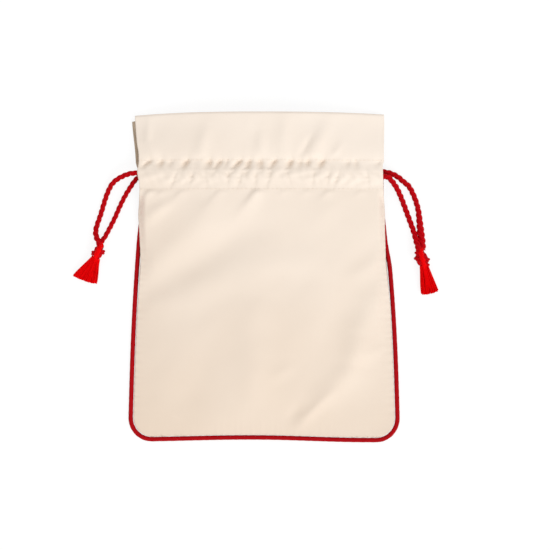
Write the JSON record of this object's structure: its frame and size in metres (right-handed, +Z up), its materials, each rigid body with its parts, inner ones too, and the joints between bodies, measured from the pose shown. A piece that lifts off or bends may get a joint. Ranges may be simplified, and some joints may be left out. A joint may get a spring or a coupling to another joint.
{
  "type": "drawstring pouch",
  "caption": "Flat drawstring pouch of cream satin with a gathered casing, a header, red piping round its sides and bottom, and two red drawcords that end in knots and tassels.",
  "frame": {"origin": "centre of the pouch's own box without its free cords, on the surface that it lies on", "axes": "+X to the right across the pouch, +Y from its bottom edge to its header, +Z up out of the front panel, away from the surface that it lies on"},
  "size_m": [0.2307, 0.2081, 0.0162],
  "materials": {
    "cream_satin": "smooth cream satin weave with a soft sheen",
    "red_piping": "red cloth wrapped tightly round a thin filler cord",
    "red_cord": "red plied cord with a soft lustre",
    "red_tassel": "bright red loose threads"
  },
  "bodies": {
    "root": {"front_panel": "cream_satin", "rear_panel": "cream_satin", "piping": "red_piping", "left_cord_in_casing": "red_cord", "right_cord_in_casing": "red_cord", "left_strand_upper": "red_cord", "left_strand_lower": "red_cord", "right_strand_upper": "red_cord", "right_strand_lower": "red_cord", "left_knot": "red_cord", "right_knot": "red_cord", "left_tassel": "red_tassel", "right_tassel": "red_tassel"}
  },
  "joints": []
}
